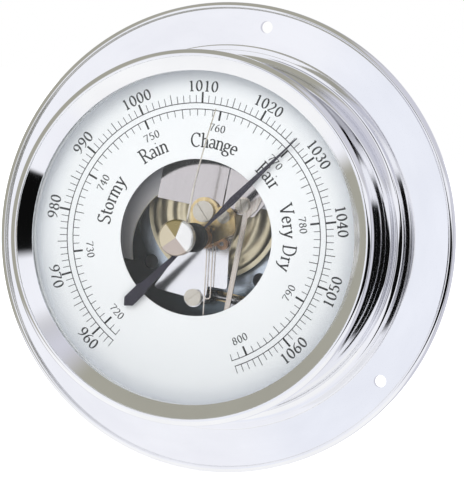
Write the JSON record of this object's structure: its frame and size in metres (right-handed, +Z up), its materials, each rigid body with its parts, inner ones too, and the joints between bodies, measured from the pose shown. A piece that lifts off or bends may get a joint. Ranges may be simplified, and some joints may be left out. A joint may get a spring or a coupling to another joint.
{
  "type": "aneroid barometer",
  "caption": "Round wall-mounted aneroid barometer in a flanged chrome case, with a domed glass, an open dial over its movement, a pressure hand and a set hand.",
  "frame": {"origin": "on the dial axis, in the wall plane, at the centre of the three wall screws", "axes": "-Y out of the wall towards the reader, +Z up, +X to the reader's right"},
  "size_m": [0.11, 0.0429, 0.11],
  "materials": {
    "polished_brass": "turned",
    "base_steel": "blued, polished",
    "zinc_sheet": "zinc-plated pressing",
    "nickel_screw": "nickel-plated, turned",
    "chrome": "mirror-polished chrome plate",
    "mirror_plate": "mirror-polished nickel",
    "capsule_bronze": "pressed, bright",
    "cock_brass": "polished",
    "dial_white": "satin white enamel with printed scales",
    "white_plastic": "moulded",
    "lever_metal": "polished nickel silver",
    "brushed_frame": "brushed",
    "clear_glass": "clear, polished",
    "gasket_rubber": "matt",
    "hairspring_bronze": "drawn wire",
    "spring_steel": "polished",
    "spring_plate": "ground and polished",
    "black_hand": "satin black lacquer",
    "black_plastic": "moulded, fine grain",
    "blued_steel": "blackened steel",
    "sector_copper": "bright",
    "set_hand_gold": "polished",
    "gold_knob": "turned face, knurled edge"
  },
  "bodies": {
    "case": {"wall_flange": "chrome", "case_body": "chrome", "rear_cover": "black_plastic", "rear_cover_screws": "nickel_screw", "movement_can": "zinc_sheet", "dial": "dial_white", "dial_spacer": "white_plastic", "glass_dome": "clear_glass", "glass_gasket": "gasket_rubber", "bezel_ring": "chrome", "glass_bush": "polished_brass", "bush_nut": "polished_brass", "base_plate": "base_steel", "base_posts": "zinc_sheet", "base_screws": "nickel_screw", "capsule_lower": "capsule_bronze", "capsule_upper": "capsule_bronze", "capsule_stud": "polished_brass", "capsule_nut": "polished_brass", "frame_plate": "brushed_frame", "frame_posts": "zinc_sheet", "main_spring": "spring_plate", "spring_clamp": "brushed_frame", "spring_clamp_screws": "nickel_screw", "bridge_plate": "mirror_plate", "bridge_posts": "zinc_sheet", "bridge_screw": "nickel_screw", "cock": "cock_brass", "cock_posts": "cock_brass", "cock_screws": "nickel_screw", "sector_stud": "spring_steel", "hairspring": "hairspring_bronze", "hairspring_stud": "polished_brass", "rocker_bracket": "cock_brass"},
    "pressure_hand": {"pressure_hand": "black_hand", "pressure_hand_hub": "black_hand", "hand_collar": "polished_brass", "hand_arbor": "spring_steel", "hairspring_collet": "polished_brass"},
    "sector": {"sector": "sector_copper", "sector_pin": "spring_steel"},
    "draw_loop": {"draw_loop": "lever_metal"},
    "rocker": {"rocker_shaft": "spring_steel", "rocker_pull_arm": "blued_steel", "rocker_lift_arm": "spring_steel"},
    "main_lever": {"main_lever": "lever_metal", "lever_screw": "nickel_screw", "lever_pin": "spring_steel"},
    "capsule_post": {"capsule_post": "polished_brass", "post_collar": "polished_brass"},
    "set_hand": {"set_hand": "set_hand_gold", "set_hand_spindle": "polished_brass", "setting_knob": "gold_knob", "spring_washer": "spring_steel"},
    "adjusting_screw": {"adjusting_screw": "polished_brass"}
  },
  "joints": [
    {"name": "pressure_hand_turn", "type": "hinge", "parent": "case", "child": "pressure_hand", "pos_m": [0, 0, 0], "axis": [0, 1, 0], "range_deg": [-187.2, 115.2], "deforming": ["hairspring"]},
    {"name": "sector_turn", "type": "hinge", "parent": "case", "child": "sector", "pos_m": [0.00483, 0, -0.00051], "axis": [0, 1, 0], "range_deg": [-14.42, 23.42]},
    {"name": "draw_loop_slide", "type": "slide", "parent": "case", "child": "draw_loop", "axis": [0.1461, 0, -0.9893], "range_m": [-0.00114, 0.0007]},
    {"name": "rocker_turn", "type": "hinge", "parent": "case", "child": "rocker", "pos_m": [0, -0.01457, -0.01299], "axis": [1, 0, 0], "range_deg": [-10.91, 6.71]},
    {"name": "main_lever_turn", "type": "hinge", "parent": "case", "child": "main_lever", "pos_m": [0, -0.0182, 0.022], "axis": [1, 0, 0], "range_deg": [-2.01, 1.24], "deforming": ["main_spring"]},
    {"name": "capsule_post_travel", "type": "slide", "parent": "case", "child": "capsule_post", "axis": [0, 1, 0], "range_m": [-0.0005577, 0.0003432], "deforming": ["capsule_upper"]},
    {"name": "set_hand_turn", "type": "hinge", "parent": "case", "child": "set_hand", "pos_m": [0, 0, 0], "axis": [0, 1, 0], "continuous": true},
    {"name": "adjusting_screw_turn", "type": "hinge", "parent": "case", "child": "adjusting_screw", "pos_m": [0, 0, 0.0246], "axis": [0, 1, 0], "range_deg": [-360, 360]}
  ],
  "couplings": [
    {"joint": "sector_turn", "follows": "pressure_hand_turn", "ratio": -0.125},
    {"joint": "draw_loop_slide", "follows": "pressure_hand_turn", "m_per_rad": 0.00035},
    {"joint": "rocker_turn", "follows": "pressure_hand_turn", "ratio": 0.058192},
    {"joint": "main_lever_turn", "follows": "pressure_hand_turn", "ratio": 0.010725},
    {"joint": "capsule_post_travel", "follows": "pressure_hand_turn", "m_per_rad": 0.00017052}
  ]
}
